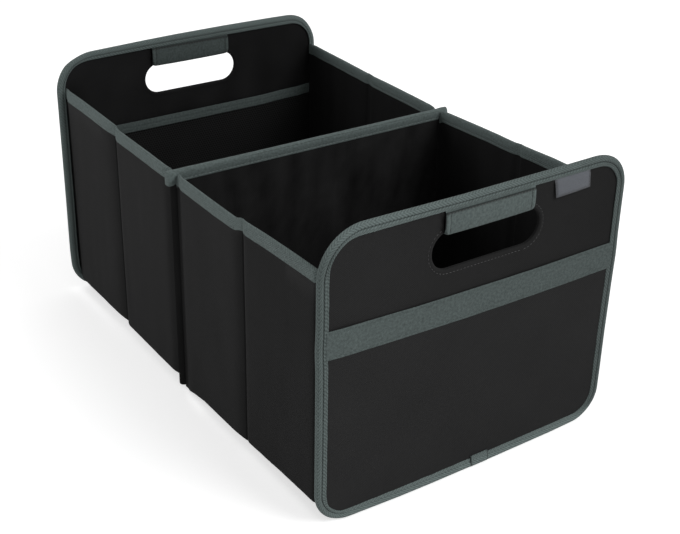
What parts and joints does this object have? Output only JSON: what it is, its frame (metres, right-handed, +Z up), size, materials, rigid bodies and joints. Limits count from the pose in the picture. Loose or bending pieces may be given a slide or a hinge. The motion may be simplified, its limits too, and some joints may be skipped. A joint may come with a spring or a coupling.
{
  "type": "folding storage box",
  "caption": "Soft folding car boot box with open cells, stiff end panels with hand holes, a middle divider and inward folding side walls.",
  "frame": {"origin": "centre of the box's footprint, on the ground under its end panels", "axes": "+Y along the length from the front end panel to the back one, +X across the width to the right as seen from the front, +Z up"},
  "size_m": [0.32, 0.5, 0.275],
  "materials": {
    "tape": "slate grey twill tape",
    "cover_fabric": "black woven polyester",
    "lining": "black polyester lining",
    "mesh": "fine black mesh",
    "board": "plain stiffening board, hidden",
    "tag": "woven tag, blank"
  },
  "bodies": {
    "divider": {"divider_core": "board", "divider_sleeve": "cover_fabric", "divider_binding": "tape", "bottom_front": "cover_fabric", "bottom_back": "cover_fabric"},
    "wall_front_left_inner": {"wall_front_left_inner_core": "board", "wall_front_left_inner_sleeve": "cover_fabric", "wall_front_left_inner_binding": "tape"},
    "wall_front_left_outer": {"wall_front_left_outer_core": "board", "wall_front_left_outer_sleeve": "cover_fabric", "wall_front_left_outer_binding": "tape"},
    "wall_front_right_inner": {"wall_front_right_inner_core": "board", "wall_front_right_inner_sleeve": "cover_fabric", "wall_front_right_inner_binding": "tape"},
    "wall_front_right_outer": {"wall_front_right_outer_core": "board", "wall_front_right_outer_sleeve": "cover_fabric", "wall_front_right_outer_binding": "tape"},
    "front_panel": {"front_core": "board", "front_outer_skin": "cover_fabric", "front_inner_skin": "lining", "front_binding": "tape", "front_cover": "tape", "front_grip": "tape", "front_pocket": "cover_fabric", "front_pocket_hem": "tape", "front_tag": "tag"},
    "floor_front_mid": {"floor_front_mid_core": "board", "floor_front_mid_sleeve": "lining", "pull_loop_front": "tape"},
    "floor_front_end": {"floor_front_end_core": "board", "floor_front_end_sleeve": "lining"},
    "wall_back_left_inner": {"wall_back_left_inner_core": "board", "wall_back_left_inner_sleeve": "cover_fabric", "wall_back_left_inner_binding": "tape"},
    "wall_back_left_outer": {"wall_back_left_outer_core": "board", "wall_back_left_outer_sleeve": "cover_fabric", "wall_back_left_outer_binding": "tape"},
    "wall_back_right_inner": {"wall_back_right_inner_core": "board", "wall_back_right_inner_sleeve": "cover_fabric", "wall_back_right_inner_binding": "tape"},
    "wall_back_right_outer": {"wall_back_right_outer_core": "board", "wall_back_right_outer_sleeve": "cover_fabric", "wall_back_right_outer_binding": "tape"},
    "back_panel": {"back_core": "board", "back_outer_skin": "cover_fabric", "back_inner_skin": "lining", "back_binding": "tape", "back_cover": "tape", "back_grip": "tape", "mesh_pocket": "mesh", "mesh_hem": "tape"},
    "floor_back_mid": {"floor_back_mid_core": "board", "floor_back_mid_sleeve": "lining", "pull_loop_back": "tape"},
    "floor_back_end": {"floor_back_end_core": "board", "floor_back_end_sleeve": "lining"}
  },
  "joints": [
    {"name": "front_fold", "type": "hinge", "parent": "divider", "child": "wall_front_left_inner", "pos_m": [-0.1497, -0.008, 0.1248], "axis": [0, 0, 1], "range_deg": [0, 88.8], "deforming": ["bottom_front"]},
    {"name": "front_left_crease", "type": "hinge", "parent": "wall_front_left_inner", "child": "wall_front_left_outer", "pos_m": [-0.1557, -0.12355, 0.1248], "axis": [0, 0, -1], "range_deg": [0, 177.6]},
    {"name": "front_panel_hinge", "type": "hinge", "parent": "wall_front_left_outer", "child": "front_panel", "pos_m": [-0.1497, -0.2391, 0.1248], "axis": [0, 0, 1], "range_deg": [0, 88.8]},
    {"name": "front_right_inner_hinge", "type": "hinge", "parent": "divider", "child": "wall_front_right_inner", "pos_m": [0.1497, -0.008, 0.1248], "axis": [0, 0, -1], "range_deg": [0, 88.8]},
    {"name": "front_right_crease", "type": "hinge", "parent": "wall_front_right_inner", "child": "wall_front_right_outer", "pos_m": [0.1557, -0.12355, 0.1248], "axis": [0, 0, 1], "range_deg": [0, 177.6]},
    {"name": "floor_front_mid_hinge", "type": "hinge", "parent": "divider", "child": "floor_front_mid", "pos_m": [0, -0.0045, 0.0168], "axis": [-1, 0, 0], "range_deg": [0, 88.8]},
    {"name": "floor_front_end_hinge", "type": "hinge", "parent": "front_panel", "child": "floor_front_end", "pos_m": [0, -0.2426, 0.0168], "axis": [1, 0, 0], "range_deg": [0, 88.8]},
    {"name": "back_fold", "type": "hinge", "parent": "divider", "child": "wall_back_left_inner", "pos_m": [-0.1497, 0.008, 0.1248], "axis": [0, 0, -1], "range_deg": [0, 88.8], "deforming": ["bottom_back"]},
    {"name": "back_left_crease", "type": "hinge", "parent": "wall_back_left_inner", "child": "wall_back_left_outer", "pos_m": [-0.1557, 0.12355, 0.1248], "axis": [0, 0, 1], "range_deg": [0, 177.6]},
    {"name": "back_panel_hinge", "type": "hinge", "parent": "wall_back_left_outer", "child": "back_panel", "pos_m": [-0.1497, 0.2391, 0.1248], "axis": [0, 0, -1], "range_deg": [0, 88.8]},
    {"name": "back_right_inner_hinge", "type": "hinge", "parent": "divider", "child": "wall_back_right_inner", "pos_m": [0.1497, 0.008, 0.1248], "axis": [0, 0, 1], "range_deg": [0, 88.8]},
    {"name": "back_right_crease", "type": "hinge", "parent": "wall_back_right_inner", "child": "wall_back_right_outer", "pos_m": [0.1557, 0.12355, 0.1248], "axis": [0, 0, -1], "range_deg": [0, 177.6]},
    {"name": "floor_back_mid_hinge", "type": "hinge", "parent": "divider", "child": "floor_back_mid", "pos_m": [0, 0.0045, 0.0168], "axis": [1, 0, 0], "range_deg": [0, 88.8]},
    {"name": "floor_back_end_hinge", "type": "hinge", "parent": "back_panel", "child": "floor_back_end", "pos_m": [0, 0.2426, 0.0168], "axis": [-1, 0, 0], "range_deg": [0, 88.8]}
  ],
  "couplings": [
    {"joint": "front_left_crease", "follows": "front_fold", "ratio": 2},
    {"joint": "front_panel_hinge", "follows": "front_fold", "ratio": 1},
    {"joint": "front_right_inner_hinge", "follows": "front_fold", "ratio": 1},
    {"joint": "front_right_crease", "follows": "front_fold", "ratio": 2},
    {"joint": "floor_front_mid_hinge", "follows": "front_fold", "ratio": 1},
    {"joint": "floor_front_end_hinge", "follows": "front_fold", "ratio": 1},
    {"joint": "back_left_crease", "follows": "back_fold", "ratio": 2},
    {"joint": "back_panel_hinge", "follows": "back_fold", "ratio": 1},
    {"joint": "back_right_inner_hinge", "follows": "back_fold", "ratio": 1},
    {"joint": "back_right_crease", "follows": "back_fold", "ratio": 2},
    {"joint": "floor_back_mid_hinge", "follows": "back_fold", "ratio": 1},
    {"joint": "floor_back_end_hinge", "follows": "back_fold", "ratio": 1}
  ]
}
